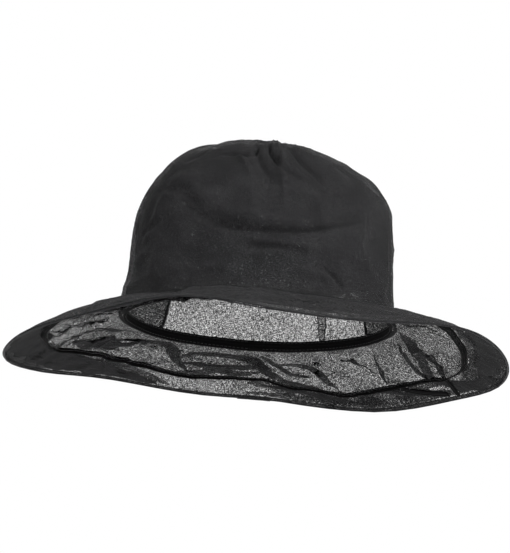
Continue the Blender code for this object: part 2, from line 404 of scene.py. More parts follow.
class Nodes:
    """Short calls for building one material's nodes."""

    def __init__(self, name):
        self.material = bpy.data.materials.new(name)
        self.material.use_nodes = True
        self.tree = self.material.node_tree
        self.shader = self.tree.nodes["Principled BSDF"]

    def add(self, kind, **settings):
        node = self.tree.nodes.new(kind)
        for key, value in settings.items():
            setattr(node, key, value)
        return node

    def link(self, source, target):
        self.tree.links.new(source, target)

    def maths(self, operation, *values):
        node = self.add("ShaderNodeMath", operation=operation)
        for index, value in enumerate(values):
            if isinstance(value, (int, float)):
                node.inputs[index].default_value = value
            else:
                self.link(value, node.inputs[index])
        return node.outputs[0]

    def weave(self, across, along):
        """The cloth's own coordinates, divided by a size across and a size along."""
        place = self.add("ShaderNodeUVMap", uv_map="weave")
        scale = self.add("ShaderNodeVectorMath", operation="MULTIPLY")
        scale.inputs[1].default_value = (1 / across, 1 / along, 1)
        self.link(place.outputs[0], scale.inputs[0])
        return scale.outputs[0]

    def solid(self, size):
        """Places in the object, divided by a size."""
        place = self.add("ShaderNodeTexCoord")
        scale = self.add("ShaderNodeVectorMath", operation="SCALE")
        scale.inputs["Scale"].default_value = 1 / size
        self.link(place.outputs["Object"], scale.inputs[0])
        return scale.outputs[0]

    def noise(self, vector, detail, roughness=0.5):
        node = self.add("ShaderNodeTexNoise")
        node.inputs["Scale"].default_value = 1.0
        node.inputs["Detail"].default_value = detail
        node.inputs["Roughness"].default_value = roughness
        self.link(vector, node.inputs["Vector"])
        return node.outputs[0]

    def wave(self, vector, direction, distortion=0.0):
        node = self.add("ShaderNodeTexWave", bands_direction=direction)
        node.inputs["Scale"].default_value = 1.0
        node.inputs["Distortion"].default_value = distortion
        self.link(vector, node.inputs["Vector"])
        return node.outputs[1]

    def range(self, value, low, high, to_low, to_high):
        node = self.add("ShaderNodeMapRange")
        for key, number in (("From Min", low), ("From Max", high), ("To Min", to_low), ("To Max", to_high)):
            node.inputs[key].default_value = number
        self.link(value, node.inputs["Value"])
        return node.outputs[0]

    def colour(self, value, dark, light):
        """The base colour, from one colour to another as the value goes from 0 to 1."""
        ramp = self.add("ShaderNodeValToRGB")
        ramp.color_ramp.elements[0].color = (*dark, 1)
        ramp.color_ramp.elements[1].color = (*light, 1)
        self.link(value, ramp.inputs[0])
        self.link(ramp.outputs[0], self.shader.inputs["Base Color"])

    def roughness(self, value, low, high, to_low, to_high):
        self.link(self.range(value, low, high, to_low, to_high), self.shader.inputs["Roughness"])

    def bump(self, height, strength, distance):
        node = self.add("ShaderNodeBump")
        node.inputs["Strength"].default_value = strength
        node.inputs["Distance"].default_value = distance
        self.link(height, node.inputs["Height"])
        self.link(node.outputs[0], self.shader.inputs["Normal"])

    def set(self, **values):
        for key, value in values.items():
            self.shader.inputs[key.replace("_", " ")].default_value = value


THREAD_WIDTH = 0.38 * MM
SLUB_LENGTH = 3 * MM


def voile_material(name, openness, fleck, mottle=0.0, patches=0.0):
    """Sheer plain weave: slubby threads both ways and small clear gaps.

    openness sets the gaps' share and fleck the lightest thread colour, which the painted highlights on the
    warp threads reach. mottle and patches set how unevenly the gaps are spread, from one millimetre to the
    next and over a fold's width.
    """
    n = Nodes(name)
    warp = n.noise(n.weave(THREAD_WIDTH, SLUB_LENGTH), 1.0)
    weft = n.noise(n.weave(SLUB_LENGTH, THREAD_WIDTH), 1.0)
    grain = n.noise(n.weave(0.42 * MM, 0.42 * MM), 1.0, 0.6)
    cloud = n.noise(n.solid(22 * MM), 1.0)
    threads = n.maths("ADD", warp, weft)
    mix = n.maths("MULTIPLY_ADD", grain, 2.0, threads)
    mix = n.maths("MULTIPLY_ADD", cloud, 0.2, mix)
    mix = n.maths("MULTIPLY_ADD", n.noise(n.solid(1.15 * MM), 1.0), mottle, mix)
    mix = n.maths("MULTIPLY_ADD", n.noise(n.solid(7 * MM), 1.0), patches, mix)
    middle = 2.1 + (mottle + patches) / 2  # the mean of mix
    gaps = n.range(mix, middle - 0.4, middle + 0.4, openness - 1.0, openness + 1.0)
    cover = n.maths("MINIMUM", n.maths("SUBTRACT", 1.0, gaps), 0.985)
    n.link(cover, n.shader.inputs["Alpha"])
    # painted highlight: glints on the warp threads, in cloudy patches, painted into the base colour as
    # lighter thread
    painted_glint = n.maths("MULTIPLY", n.range(warp, 0.62, 0.78, 0, 0.6), n.range(cloud, 0.48, 0.62, 0, 1))
    shade = n.maths("MULTIPLY_ADD", cloud, 0.5, n.maths("MULTIPLY", threads, 0.3))
    shade = n.maths("ADD", shade, painted_glint)
    n.colour(shade, (0.003, 0.003, 0.0031), (fleck, fleck, fleck * 1.03))
    n.roughness(grain, 0.3, 0.7, 0.6, 0.9)
    n.bump(threads, 0.45, 0.12 * MM)
    n.set(Sheen_Weight=0.01, Sheen_Roughness=0.5, Specular_IOR_Level=0.02)
    return n.material


def tape_material():
    """Folded net and narrow woven tape: dense, with fine ribs along its length."""
    n = Nodes("black_tape")
    rib = n.wave(n.weave(2.4 * MM, 2.2 * MM), "Y", 1.2)
    fibre = n.noise(n.weave(1.6 * MM, 0.5 * MM), 2.0)
    wear = n.noise(n.solid(18 * MM), 2.0)
    value = n.maths("MULTIPLY_ADD", fibre, 0.6, n.maths("MULTIPLY", wear, 0.4))
    n.colour(value, (0.006, 0.006, 0.0063), (0.02, 0.02, 0.0206))
    n.roughness(wear, 0.3, 0.7, 0.68, 0.86)
    n.bump(n.maths("MULTIPLY_ADD", rib, 0.6, fibre), 0.5, 0.15 * MM)
    n.set(Sheen_Weight=0.02, Sheen_Roughness=0.4, Specular_IOR_Level=0.04)
    return n.material


def elastic_material():
    """Knitted elastic: cords along its length, crossed by fine stitches."""
    n = Nodes("black_elastic")
    cords = n.wave(n.weave(9 * MM, 4.6 * MM), "Y")
    picks = n.wave(n.weave(3.4 * MM, 6 * MM), "X", 0.8)
    lint = n.noise(n.solid(2.2 * MM), 3.0, 0.6)
    knit = n.maths("MULTIPLY_ADD", picks, 0.45, cords)
    value = n.maths("MULTIPLY_ADD", knit, 0.4, n.maths("MULTIPLY", lint, 0.5))
    n.colour(value, (0.0015, 0.0015, 0.0016), (0.008, 0.008, 0.0083))
    n.roughness(lint, 0.3, 0.7, 0.65, 0.85)
    n.bump(knit, 0.7, 0.25 * MM)
    n.set(Sheen_Weight=0.01, Sheen_Roughness=0.5, Specular_IOR_Level=0.03)
    return n.material


def thread_material():
    """Twisted sewing thread with a slight shine."""
    n = Nodes("black_thread")
    twist = n.noise(n.solid(0.35 * MM), 2.0)
    n.colour(twist, (0.006, 0.006, 0.0065), (0.03, 0.03, 0.031))
    n.roughness(twist, 0.3, 0.7, 0.4, 0.62)
    n.bump(twist, 0.4, 0.08 * MM)
    n.set(Sheen_Weight=0.05, Specular_IOR_Level=0.35)
    return n.material


def wire_material():
    """Black-lacquered spring wire, rubbed a little brighter in patches."""
    n = Nodes("lacquered_spring_wire")
    rub = n.noise(n.solid(6 * MM), 3.0, 0.65)
    n.colour(rub, (0.006, 0.006, 0.007), (0.03, 0.03, 0.032))
    n.roughness(rub, 0.35, 0.7, 0.45, 0.6)
    n.bump(rub, 0.15, 0.05 * MM)
    n.set(Specular_IOR_Level=0.15)
    return n.material


CROWN_VOILE = voile_material("black_voile_crown", 0.32, 0.038)
BRIM_VOILE = voile_material("black_voile_brim", 0.22, 0.04, 0.2)
VEIL_VOILE = voile_material("black_voile_veil", 1.5, 0.042, 1.5, 1.1)
EDGE_VOILE = voile_material("black_voile_rolled", -0.1, 0.04)
DOUBLED_VOILE = voile_material("black_voile_doubled", 0.36, 0.042, 1.2)
FOLD_VOILE = voile_material("black_voile_folded", -0.6, 0.04)
CREASED_VOILE = voile_material("black_voile_creased", 0.0, 0.042, 0.9, 0.5)
TAPE = tape_material()
ELASTIC = elastic_material()
THREAD = thread_material()
WIRE = wire_material()


# ---------------- camera, light and stage

def make_camera():
    data = bpy.data.cameras.new("camera")
    data.sensor_width = SENSOR
    data.lens = PIXELS_PER_METRE * SENSOR * CAMERA_DISTANCE / IMAGE_HEIGHT
    data.clip_end = 20.0
    camera = bpy.data.objects.new("camera", data)
    tilt = math.radians(CAMERA_ELEVATION)
    looking = Vector((0.0, math.cos(tilt), -math.sin(tilt)))
    camera.location = AIM - looking * CAMERA_DISTANCE
    turn = looking.to_track_quat("-Z", "Y").to_matrix().to_4x4()
    roll = Matrix.Rotation(math.radians(CAMERA_ROLL), 4, "Z")
    camera.rotation_euler = (turn @ roll).to_euler()
    bpy.context.scene.collection.objects.link(camera)
    bpy.context.scene.camera = camera


def soft_light(name, place, size, power):
    data = bpy.data.lights.new(name, "AREA")
    data.size = size
    data.energy = power
    light = bpy.data.objects.new(name, data)
    light.location = place
    light.rotation_euler = (LIT_PLACE - Vector(place)).to_track_quat("-Z", "Y").to_euler()
    bpy.context.scene.collection.objects.link(light)


def make_stage():
    world = bpy.data.worlds.new("studio")
    world.use_nodes = True
    world.node_tree.nodes["Background"].inputs["Color"].default_value = (1, 1, 1, 1)
    world.node_tree.nodes["Background"].inputs["Strength"].default_value = 1.0
    bpy.context.scene.world = world
    bpy.context.scene.view_settings.view_transform = "Standard"
    soft_light("key_light", (1.5, -1.3, 1.1), size=0.8, power=56)
    soft_light("fill_light", (-1.6, -1.2, 0.3), size=1.4, power=8)
    n = Nodes("pale_floor")
    grain = n.noise(n.solid(0.4), 4.0)
    n.colour(grain, (0.8, 0.8, 0.8), (0.86, 0.86, 0.86))
    n.set(Roughness=0.8)
    half, height = FLOOR_HALF, FLOOR_HEIGHT
    corners = [(-half, -half, height), (half, -half, height), (half, half, height), (-half, half, height)]
    floor = make_object("floor", corners, [(0, 1, 2, 3)], n.material)


# ---------------- crown

CROWN_COLUMNS = 400
CROWN_ROWS = 124
LINING_ROWS = 96
PEAK_DROP = 4.6 * MM  # the gathered top lies a little lower than the stiff outline of the CAD solid
PEAK_SHIFT = 9 * MM  # and it is drawn to one side
CREASE_RADIUS = 0.085  # turns the creases' degrees into distances
GATHER_SIDE = math.radians(275)  # where the gathers reach furthest down
SLOPE_SIDE = math.radians(-12)  # where the top slopes in most
NOTCH_MIDDLE = math.radians(85)
NOTCH_REACH = math.radians(54)

# Creases of the crown: a line of (degrees, millimetres above the band), half width, depth in millimetres
CREASES = (
    (((230, 66), (239, 56), (249, 48.5), (256, 44.5), (266, 43), (286, 42.5), (293, 46), (304, 50),
      (318, 60)), 2.4, 3.0),
    (((234, 76), (246, 63), (258, 54), (270, 51), (286, 51), (298, 57), (316, 74)), 5.5, -2.6),
    (((226, 74), (233, 70), (240, 60)), 2.2, 2.4),
    (((257, 32), (282, 31), (292, 28)), 2.4, 1.7),
    (((258, 37), (283, 36), (293, 33)), 2.6, -1.4),
    (((204, 48), (219, 56)), 1.8, 3.2),
    (((204, 43), (216, 47)), 3.5, -1.8),
    (((297, 23), (302, 16.5), (309.5, 7)), 1.5, 3.6),
    (((296, 18), (301, 10)), 2.2, -1.2),
    (((329, 13.5), (335, 9)), 1.0, 1.5),
    (((217, 78), (234, 74)), 2.2, 2.2),
    (((218, 84), (238, 81)), 5.0, -2.1),
    (((323, 72), (321, 38)), 3.0, 1.7),
    (((272, 118), (271.5, 104), (277, 91), (287, 82)), 1.7, 4.2),
    (((262, 114), (266, 95), (273, 80), (267, 63)), 2.4, 2.8),
    (((279, 108), (277, 92), (279, 60)), 2.0, -2.4),
    (((252, 104), (260, 92), (264, 80)), 2.0, -2.1),
    (((243, 103), (262, 100), (266, 112)), 1.5, 3.0),
    (((284, 112), (288, 98), (298, 80)), 2.0, 2.7),
    (((300, 112), (309, 100), (318, 90)), 3.0, 2.1),
    (((232, 108), (222, 98)), 3.0, 2.1),
    (((345, 100), (352, 80), (352, 55)), 4.0, 2.0),
    (((186, 95), (192, 75), (188, 48)), 4.0, 2.1),
    (((40, 96), (62, 80), (95, 74), (126, 84)), 3.5, 3.3),
    (((30, 60), (64, 47), (110, 52)), 3.0, 2.4),
    (((140, 100), (150, 78), (146, 52)), 3.0, 2.4),
    (((10, 28), (24, 20), (44, 24)), 2.5, 1.8),
    (((140, 26), (160, 18), (176, 24)), 2.5, 1.8),
)


class Dome:
    """Outline of one ply of the crown: radius and height against the distance run from its foot."""

    def __init__(self, radius, top, flare):
        shoulder = top / 2
        turn = math.asin(0.5 ** (DOME_POWER / 2))
        bend = np.linspace(turn, math.pi / 2, 1200)
        wall = np.linspace(0, shoulder, 300)[:-1]
        self.heights = np.concatenate([wall, top * np.sin(bend) ** (2 / DOME_POWER)])
        self.radii = radius * np.sqrt(np.maximum(0, 1 - (self.heights / top) ** DOME_POWER))
        self.radii += flare * np.exp(-self.heights / FLARE_HEIGHT)
        self.radii[-1] = 0
        steps = np.hypot(np.diff(self.radii), np.diff(self.heights))
        self.runs = np.concatenate([[0], np.cumsum(steps)])
        self.length = self.runs[-1]

    def run_at(self, height):
        return np.interp(height, self.heights, self.runs)

    def points(self, angle, run):
        radius = np.interp(run, self.runs, self.radii)
        return ring_points(radius, np.interp(run, self.runs, self.heights), angle)


def creases_at(dome, angle, run):
    """Depth of all the creases at each point of the crown."""
    total = np.zeros_like(run)
    for path, width, depth in CREASES:
        middle = math.radians(path[len(path) // 2][0])
        across = angle_gap(angle, middle) * CREASE_RADIUS
        line = smooth_line([(angle_gap(math.radians(degrees), middle) * CREASE_RADIUS,
                             dome.run_at(height * MM)) for degrees, height in path])
        signed, share = places_by_line(across, run, line)[1:]
        fade = np.clip(4 * share * (1 - share), 0, 1) ** 0.6
        total -= depth * MM * fade * bell(signed, width * MM)
    return total


def crown_push(dome, angle, run):
    """How far the crown's net stands out from the plain dome."""
    plain = dome.points(angle, run)
    height = plain[..., 2]
    to_top = dome.length - run
    spot = ring_points(0.09, height, angle)
    folds = warped(ring_points(0.05, to_top * 0.3, angle), 0.03, 0.014, 11)
    gather = ridges(folds, 8 * MM, 12) * 0.6 + ridges(folds, 4.5 * MM, 13) * 0.35
    reach = 0.030 + 0.022 * bell(angle_gap(angle, GATHER_SIDE), 0.8)
    gather = gather * 2.3 * MM * np.clip(to_top / 0.010, 0, 1)
    gather = gather * (1 - smooth_step(to_top, reach * 0.5, reach * 1.5))
    soft = lattice_noise(warped(spot, 0.05, 0.02, 21), 0.042, 22) * 1.5 * MM
    small = ridges(warped(spot, 0.03, 0.012, 31), 0.022, 32) * 0.75 * MM
    shoulder = 4.2 * MM * bell(angle_gap(angle, 0.0), 0.7) * bell(height - 82 * MM, 26 * MM)
    flare = 5 * MM * bell(angle_gap(angle, math.pi), 0.8) * np.exp(-height / (14 * MM))
    peak = -PEAK_DROP * (1 - smooth_step(to_top, 0.02, 0.065)) + 3.4 * MM * bell(to_top, 11 * MM)
    slope = -3.6 * MM * bell(angle_gap(angle, SLOPE_SIDE), 0.75) * bell(to_top - 0.054, 0.019)
    return gather + soft + small + creases_at(dome, angle, run) + shoulder + flare + peak + slope


def crown_points(dome, angle, run, inset, wrap=True):
    """The dome's points, creased by crown_push and moved inwards by inset."""
    plain = dome.points(angle, run)
    normal = normals_of(plain, wrap)
    outwards = plain - np.array((0, 0, 0.03))
    normal = np.where((normal * outwards).sum(-1, keepdims=True) < 0, -normal, normal)
    hold = smooth_step(plain[..., 2], 0, 14 * MM)
    push = crown_push(dome, angle, run) * (0.35 + 0.65 * hold) - inset
    moved = plain + normal * push[..., None]
    moved[..., 0] += PEAK_SHIFT * (1 - smooth_step(dome.length - run, 0, 0.06))
    return moved


def close_top(thing, columns, centre):
    """Fills the small hole at the peak with a fan."""
    with editing(thing) as data:
        data.verts.ensure_lookup_table()
        layer = data.loops.layers.uv["weave"]
        ring = data.verts[-columns:]
        peak = data.verts.new(centre)
        for k in range(columns):
            face = data.faces.new((ring[k], ring[(k + 1) % columns], peak))
            face.smooth = True
            for loop in face.loops:
                loop[layer].uv = loop.vert.co.xy


def crown_ply(name, dome, start, rows, inset):
    """One ply from its lower edge, at the runs in start, to the gathered peak."""
    angles = round_the_hat(CROWN_COLUMNS)
    level = np.arange(rows)[:, None] / rows
    run = start(angles)[None, :] * (1 - level) + dome.length * level
    angle = np.repeat(angles[None, :], rows, axis=0)
    slack = inset(angle, dome.points(angle, run)[..., 2])
    points = crown_points(dome, angle, run, slack)
    step = (TURN * dome.radii[300] / CROWN_COLUMNS, dome.length / rows)
    thing = grid_object(name, points, CROWN_VOILE, step)
    close_top(thing, CROWN_COLUMNS, points[-1].mean(axis=0) - np.array((0, 0, 0.5 * MM)))
    thicken(thing, CROWN_THICKNESS)
    return thing


def lining_edge():
    """Height of the lining's lower edge all round, as angles and heights read from the CAD lining."""
    spots = np.array([v.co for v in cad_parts["crown_lining"].data.vertices])
    spots = spots[polar(spots)[0] > 0.9 * LINING_RADIUS]
    facets = np.round(np.degrees(polar(spots)[1]) % 360).astype(int)
    turns = np.unique(facets)
    lows = np.array([spots[facets == turn, 2].min() for turn in turns])
    return np.radians(turns), lows


def lining_bottom(angle):
    """The lining's lower edge, with the notch's sloping ends pulled upright."""
    turns, lows = LINING_EDGE
    low, high = lows.min(), lows.max()
    share = (np.interp(angle % TURN, turns, lows, period=TURN) - low) / (high - low)
    return low - 1.6 * MM + (high - low) * smooth_step(share, 0.25, 0.7)


LINING_EDGE = lining_edge()


def lining_slack(angle, height):
    """How far the lining stands in from its dome: nearly against the shell, slacker at two places."""
    left = bell(angle_gap(angle, math.pi), 0.45) * bell(height - 36 * MM, 20 * MM)
    right = bell(angle_gap(angle, 0.1), 0.5) * bell(height - 94 * MM, 11 * MM)
    foot = 1.4 * MM * (1 - smooth_step(height, 3 * MM, 10 * MM))
    return 2.4 * MM * np.maximum(left, right) + foot - LINING_GAP


def make_crown():
    shell_dome = Dome(WALL_RADIUS, CROWN_TOP, WALL_FLARE)
    shell = crown_ply("crown_net", shell_dome, lambda a: 0 * a + shell_dome.run_at(0.6 * MM), CROWN_ROWS,
                      lambda a, h: 0 * a)
    finish_piece(shell, HAT, ["crown_shell"])
    dome = Dome(LINING_RADIUS, LINING_TOP, LINING_FLARE)
    lining = crown_ply("crown_lining_net", dome, lambda a: dome.run_at(lining_bottom(a)), LINING_ROWS,
                       lining_slack)
    finish_piece(lining, HAT, ["crown_lining"])
    make_notch_fold(dome)
    make_back_seam(shell_dome)
    make_top_gather()


def make_notch_fold(dome):
    """The lining's cut edge, rolled once, round the notch behind the head."""
    angles = NOTCH_MIDDLE + np.linspace(-NOTCH_REACH, NOTCH_REACH, 150)
    height = eased(lining_bottom(angles), 3)
    run = dome.run_at(height)[None, :] + np.array((-MM, 0, MM))[:, None]
    angle = np.repeat(angles[None, :], 3, axis=0)
    slack = lining_slack(angle, dome.points(angle, run)[..., 2])
    line = crown_points(dome, angle, run, slack, wrap=False)[1]
    fold = rope_object("crown_lining_edge", line, MM, 8, EDGE_VOILE)
    finish_piece(fold, HAT, [])


def make_back_seam(dome):
    """Felled seam inside the crown: a narrow net strip between two rolled edges, wider towards the top."""
    rows, columns = 90, 9
    level = np.linspace(0, 1, rows)[:, None]
    run = dome.run_at(1.5 * MM) + (dome.length - 34 * MM) * level + 0 * np.linspace(0, 1, columns)[None, :]
    half = (2.0 + 2.4 * smooth_step(level, 0, 0.22)) * MM / WALL_RADIUS
    angle = SEAM_ANGLE + half * np.linspace(-1, 1, columns)[None, :] + 0 * run
    points = crown_points(dome, angle, run, 0.65 * MM, wrap=False)
    strip = grid_object("crown_seam", points, CROWN_VOILE, (1 * MM, 1.9 * MM), wrap=False)
    finish_piece(strip, HAT, ["crown_back_seam"])
    for name, column in (("crown_seam_edge_left", 0), ("crown_seam_edge_right", columns - 1)):
        edge = rope_object(name, points[:, column], 0.38 * MM, 6, TAPE)
        finish_piece(edge, HAT, [])


def make_top_gather():
    """Seam allowance drawn into a small pleated knot under the peak."""
    low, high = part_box("crown_top_gather")
    columns, rows = 72, 14
    turn = TURN * np.arange(columns)[None, :] / columns
    level = np.linspace(0, 1, rows)[:, None]
    pleat = np.abs(np.sin(turn * 9 + 1.5 * level)) ** 0.7
    swell = 0.42 + 0.58 * np.sin(math.pi * (0.12 + 0.76 * level))
    radius = swell * (high.x - 1.5 * MM) * (0.72 + 0.28 * pleat)
    height = low.z - PEAK_DROP + (high.z - low.z) * level + 0.3 * MM * pleat
    points = ring_points(radius, height + 0 * turn, turn + 0 * level)
    points[..., 0] += PEAK_SHIFT
    knot = grid_object("crown_top_knot", points, CROWN_VOILE, (0.7 * MM, 0.4 * MM))
    thicken(knot, CROWN_THICKNESS)
    finish_piece(knot, HAT, ["crown_top_gather"])


# ---------------- brim

BRIM_COLUMNS = 560
BRIM_ROWS = 48
ROLL_CORNERS = 12  # of the cross-section of a rolled edge
JOINER_REACH = 0.075  # how far round the hat the wire's joiner swells the edge, in radians
PLEAT_PULL = 2.8  # above 1 the cloth passes the pleat's line, so that plies lie over one another

# Pleats where a net is drawn over itself: a line of (degrees, millimetres from the middle), half width
BRIM_PLEATS = (
    (((208, 152), (190, 154), (172, 156), (157, 157)), 4.0),
    (((208, 163), (190, 165), (170, 166), (148, 166)), 4.0),
    (((150, 154), (136, 154), (124, 156)), 3.0),
    (((142, 164), (130, 164), (118, 166)), 2.6),
    (((332, 152), (350, 153), (6, 155), (16, 158)), 4.0),
    (((336, 162), (352, 164), (8, 166), (24, 167)), 4.0),
    (((89, 154), (80, 161), (70, 168)), 3.2),
    (((76, 162), (68, 168), (56, 171)), 3.2),
    (((56, 156), (48, 161), (36, 167)), 3.0),
    (((222, 160), (240, 150), (262, 146)), 3.0),
    (((268, 160), (285, 150), (305, 150)), 3.0),
    (((262, 150), (268, 132), (266, 112)), 3.0),
)

# Folds where a net lies several plies thick: the same kind of line, half width
BRIM_FOLDS = (
    (((214, 164), (198, 161), (180, 160), (164, 159), (148, 160)), 12.5),
    (((166, 164), (150, 164), (136, 165), (124, 167), (115, 169)), 6.5),
    (((162, 154), (148, 156), (137, 158), (125, 162)), 4.2),
    (((326, 166), (342, 165), (358, 163), (14, 163)), 10.0),
    (((35, 140), (37, 146), (34.5, 154), (29.5, 163), (21, 168), (8, 169)), 5.2),
    (((88, 157), (80, 160), (72, 164), (64, 166)), 2.6),
    (((60, 155), (53, 158), (46, 163), (38, 167)), 1.6),
    (((232, 168), (250, 164), (268, 162), (292, 166)), 2.2),
    (((296, 156), (312, 160), (328, 166)), 2.0),
)

# Folds only two plies thick, which still let some light through
BRIM_LOOSE_FOLDS = (
    (((92, 156), (82, 159), (73, 163), (64, 165), (54, 168)), 7.5),
    (((216, 170), (196, 170.5), (176, 170.5), (156, 170.5), (128, 170)), 5.4),
    (((170, 152), (154, 154), (138, 158), (122, 162), (112, 168)), 6.5),
    (((312, 170), (334, 170.5), (354, 170.5), (12, 170.5), (30, 170)), 5.4),
    (((322, 152), (340, 152), (356, 152), (10, 156), (22, 162), (30, 166)), 7.0),
    (((92, 168), (78, 169.5), (66, 170), (56, 169), (44, 169), (28, 170)), 5.0),
    (((66, 159), (56, 161.5), (48, 162), (41, 159), (33, 160)), 5.0),
)

# Folds of the brim that the tucked veil presses down, so they hang a little lower
BRIM_LOW_FOLDS = (
    (((88, 104), (85.5, 114), (82.5, 125), (79, 136), (73, 138)), 2.8),
    (((90, 122), (86.5, 135), (82, 146), (75, 151)), 3.6),
    (((150, 119), (141, 107), (131, 101), (124, 108), (117, 127), (110, 144)), 4.6),
    (((117, 126), (113, 113), (106, 109), (98, 110), (91, 113), (88, 127), (84, 147)), 6.2),
    (((114, 132), (107, 131), (101, 133), (95, 129), (84, 129)), 4.6),
    (((113, 147), (106, 142), (101, 138), (94, 140), (88, 136)), 4.0),
    (((83, 122), (77, 121), (72, 124), (69.5, 132), (68.5, 143), (66, 151)), 4.0),
)


def plan_line(path, count=36):
    """A path of (degrees, millimetres from the middle) as places seen from above."""
    corners = [(math.cos(math.radians(degrees)) * radius * MM, math.sin(math.radians(degrees)) * radius * MM)
               for degrees, radius in path]
    return smooth_line(corners, count)


def pleated(points, pleats, hold, lift):
    """The net with cloth drawn across each pleat's line until three plies lie over one another."""
    moved = points.copy()
    for path, width in pleats:
        away, signed, share = places_by_line(moved[..., 0], moved[..., 1], plan_line(path))
        fade = smooth_step(share, 0, 0.22) * (1 - smooth_step(share, 0.78, 1)) * hold
        near = bell(signed, width * MM) * fade
        moved[..., :2] -= away * (PLEAT_PULL * near)[..., None]
        moved[..., 2] -= lift * near * signed / (width * MM)
    moved[..., 2] += brim_under(moved) - brim_under(points)
    return moved


FOLD_CORNERS = 20
FOLD_STATIONS = 56
FOLD_REACH = BRIM_RADIUS - 2.0 * MM


def fold_ribbon(path, width, cloth, surface, seed):
    """One fold seen from below: a flat tapering double ply that lies against the given surface."""
    line = plan_line(path, FOLD_STATIONS)
    side = sideways(line)
    level = np.zeros(len(line))
    spot = np.column_stack([line, level])
    taper = np.maximum(np.sin(math.pi * np.linspace(0, 1, len(line))), 0.004) ** 0.6
    left = width * MM * taper * (1 + 0.35 * lattice_noise(spot, 0.009, seed))
    right = width * MM * taper * (1 + 0.35 * lattice_noise(spot, 0.011, seed + 1))
    loops = []
    for corner in range(FOLD_CORNERS):
        turn = TURN * corner / FOLD_CORNERS
        across = math.cos(turn)
        place = line + side * (across * (left if across > 0 else right))[:, None]
        place = place * np.minimum(1, FOLD_REACH / polar(place)[0])[:, None]
        crease = ridges(np.column_stack([place, level]), 0.006, seed + 2)
        height = surface(*polar(place)) + (math.sin(turn) * 0.35 + 0.35 * crease * (1 - across ** 2)) * MM
        loops.append(np.column_stack([place, height]))
    step = (spacing(line), 4 * width * MM / FOLD_CORNERS)
    return tube_object("fold", np.stack(loops, axis=1), cloth, step, closed=False)


def add_folds(net, cloth, folds, surface, seed):
    """Joins folds of one thickness to the net's own mesh.

    Gives each new point's place on its fold's middle line.
    """
    slot = len(net.data.materials)
    net.data.materials.append(cloth)
    with editing(net) as data:
        for k, (path, width) in enumerate(folds):
            ribbon = fold_ribbon(path, width, cloth, surface, seed + 3 * k)
            count = len(ribbon.data.polygons)
            ribbon.data.polygons.foreach_set("material_index", np.full(count, slot, np.int32))
            data.from_mesh(ribbon.data)
            bpy.data.objects.remove(ribbon)
    middles = [plan_line(path, FOLD_STATIONS) for path, width in folds]
    return np.concatenate([np.tile(middle, (FOLD_CORNERS, 1)) for middle in middles])


def brim_under(points):
    """Height of the plain brim at each place."""
    return brim_height(*polar(points))


def brim_push(radius, angle):
    """Wrinkles of the brim's net: free in the middle, held at the seam and at the wire."""
    spot = ring_points(radius, 0 * radius, angle)
    soft = lattice_noise(warped(spot, 0.06, 0.02, 41), 0.038, 42) * 1.5 * MM
    sharp = ridges(warped(spot, 0.03, 0.014, 43), 0.021, 44) * 0.8 * MM
    hold = smooth_step(radius, BRIM_INNER, BRIM_INNER + 26 * MM)
    hold = hold * (1 - smooth_step(radius, BRIM_RADIUS - 14 * MM, BRIM_RADIUS - 3 * MM))
    return (soft + sharp) * hold


def make_brim():
    radii = np.linspace(BRIM_INNER, BRIM_RADIUS - 2.0 * MM, BRIM_ROWS)
    angles = round_the_hat(BRIM_COLUMNS)
    angle, radius = np.meshgrid(angles, radii)
    points = ring_points(radius, brim_height(radius, angle) + brim_push(radius, angle), angle)
    hold = smooth_step(radius, BRIM_INNER, BRIM_INNER + 10 * MM)
    hold = hold * (1 - smooth_step(radius, BRIM_RADIUS - 4 * MM, BRIM_RADIUS - 2 * MM))
    net = grid_object("brim_net_sheet", pleated(points, BRIM_PLEATS, hold, 0.8 * MM), BRIM_VOILE,
                      (1.55 * MM, 1.65 * MM))
    thicken(net, BRIM_THICKNESS)
    add_folds(net, FOLD_VOILE, BRIM_FOLDS, lambda r, a: brim_height(r, a) - 1.3 * MM, 200)
    add_folds(net, CREASED_VOILE, BRIM_LOW_FOLDS, lambda r, a: brim_height(r, a) - 3.6 * MM, 230)
    add_folds(net, DOUBLED_VOILE, BRIM_LOOSE_FOLDS, lambda r, a: brim_height(r, a) - 0.9 * MM, 260)
    finish_piece(net, HAT, ["brim_net"])
    make_binding()


def make_binding():
    """The net's edge rolled round the wire: a slim fold that swells over the joiner."""
    angles = round_the_hat(BRIM_COLUMNS)
    middle = BRIM_RADIUS - 1.2 * MM
    joiner = bell(angle_gap(angles, math.pi / 2), JOINER_REACH)
    wobble = lattice_noise(ring_points(0.17, 0 * angles, angles), 0.009, 51)
    loops = []
    for corner in range(ROLL_CORNERS):
        turn = TURN * corner / ROLL_CORNERS
        inwards = np.clip(-math.cos(turn), 0, 1)
        half_high = (0.6 + 0.66 * joiner + 0.06 * wobble) * MM
        radius = middle + math.cos(turn) * (0.62 + 0.56 * joiner) * MM - inwards ** 2 * 1.5 * MM
        height = brim_height(radius, angles) + math.sin(turn) * half_high * (1 - 0.5 * inwards ** 2)
        loops.append(ring_points(radius, height, angles))
    binding = tube_object("brim_edge", np.stack(loops, axis=1), EDGE_VOILE, (1.95 * MM, 0.7 * MM))
    finish_piece(binding, HAT, ["brim_edge_binding"])
    line_radius = np.full_like(angles, middle - 1.7 * MM)
    height = brim_height(line_radius, angles) - 0.55 * MM
    stitch_row("brim_edge_stitches", ring_points(line_radius, height, angles), (0, 0, -1), HAT, 3.2 * MM)


# ---------------- veil tucked under the brim

VEIL_COLUMNS = 620
VEIL_ROWS = 64
VEIL_TOP = -2.2 * MM
VEIL_CUT = 0.092  # the net's width from the headband to its hem
VEIL_INNER = BRIM_INNER + 0.6 * MM
VEIL_MIDDLE = 0.122  # radius halfway between the headband and the hem

